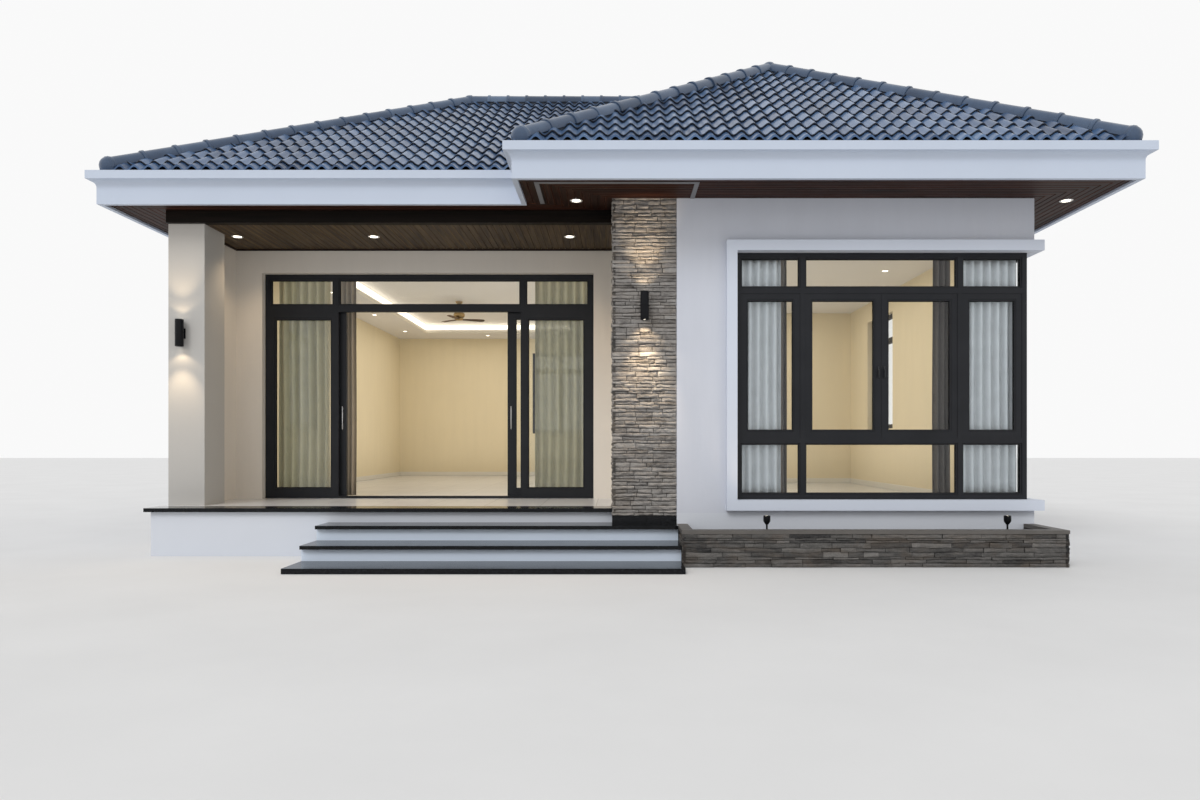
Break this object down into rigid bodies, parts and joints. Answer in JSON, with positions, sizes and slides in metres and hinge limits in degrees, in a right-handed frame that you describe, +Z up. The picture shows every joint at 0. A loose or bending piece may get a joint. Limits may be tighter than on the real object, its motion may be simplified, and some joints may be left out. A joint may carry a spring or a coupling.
{
  "type": "bungalow",
  "caption": "Single-storey house with a hipped tile roof, deep white eaves, a recessed porch with sliding glass doors, and a corner window over a stone planter.",
  "frame": {"origin": "on the ground at the middle of the plan's bounding box", "axes": "+X to the right seen from the street, +Y from the street to the back, +Z up"},
  "size_m": [10.495, 11.255, 6.1768],
  "materials": {
    "plinth_render": "matte",
    "white_render": "matte",
    "cream_render": "matte",
    "black_granite": "polished",
    "pale_tile": "polished",
    "split_stone": "rough",
    "coping_stone": "rough",
    "ledge_stone": "rough",
    "black_aluminium": "satin",
    "brushed_metal": "brushed",
    "dark_timber": "satin",
    "warm_timber": "satin",
    "grey_concrete": "matte",
    "white_fascia": "matte",
    "roof_tile": "glazed",
    "ceiling_plaster": "matte",
    "fan_brass": "satin",
    "fan_wood": "satin",
    "lamp_metal": "satin",
    "sheer_cloth": "sheer",
    "clear_glass": "clear",
    "lamp_lens": "frosted"
  },
  "bodies": {
    "root": {"foundation": "plinth_render", "step_core": "white_render", "bottom_step": "black_granite", "lower_tread": "black_granite", "upper_tread": "black_granite", "porch_edge": "black_granite", "porch_floor": "pale_tile", "room_floor": "pale_tile", "planter": "split_stone", "planter_coping": "coping_stone", "left_wall": "white_render", "rear_wall": "white_render", "rear_side_wall": "white_render", "back_wall": "white_render", "right_wall": "white_render", "wing_front_wall": "white_render", "wing_side_wall": "white_render", "porch_wall_left": "cream_render", "porch_wall_right": "cream_render", "porch_wall_over": "cream_render", "left_column": "white_render", "stone_pillar": "ledge_stone", "pillar_plinth": "black_granite", "window_surround": "white_render", "corner_window_frame": "black_aluminium", "corner_window_sashes": "black_aluminium", "corner_window_glass": "clear_glass", "window_handles": "brushed_metal", "side_window_frames": "black_aluminium", "side_window_glass": "clear_glass", "door_frame": "black_aluminium", "door_side_panels": "black_aluminium", "door_glass": "clear_glass", "door_track": "black_aluminium", "porch_beam": "dark_timber", "porch_ceiling": "warm_timber", "eave_soffit": "dark_timber", "soffit_trim": "brushed_metal", "eave_slab": "grey_concrete", "fascia": "white_fascia", "roof_shell": "roof_tile", "ridge_caps": "roof_tile", "hip_caps": "roof_tile", "room_ceiling": "ceiling_plaster", "fan_mount": "fan_brass", "downlights": "lamp_lens", "wall_lights": "lamp_metal", "planter_lights": "lamp_metal", "window_curtains": "sheer_cloth", "door_curtains": "sheer_cloth"},
    "leaf_left": {"door_leaf_left": "black_aluminium", "leaf_glass_left": "clear_glass", "handle_left": "brushed_metal"},
    "leaf_right": {"door_leaf_right": "black_aluminium", "leaf_glass_right": "clear_glass", "handle_right": "brushed_metal"},
    "rotor": {"fan_rotor": "fan_wood"}
  },
  "joints": [
    {"name": "left_leaf_slide", "type": "slide", "parent": "root", "child": "leaf_left", "axis": [1, 0, 0], "range_m": [0, 1.042]},
    {"name": "right_leaf_slide", "type": "slide", "parent": "root", "child": "leaf_right", "axis": [-1, 0, 0], "range_m": [-0.094, 0.948]},
    {"name": "fan_spin", "type": "hinge", "parent": "root", "child": "rotor", "pos_m": [-2.4575, 1.0625, 3.3], "axis": [0, 0, 1], "continuous": true}
  ]
}
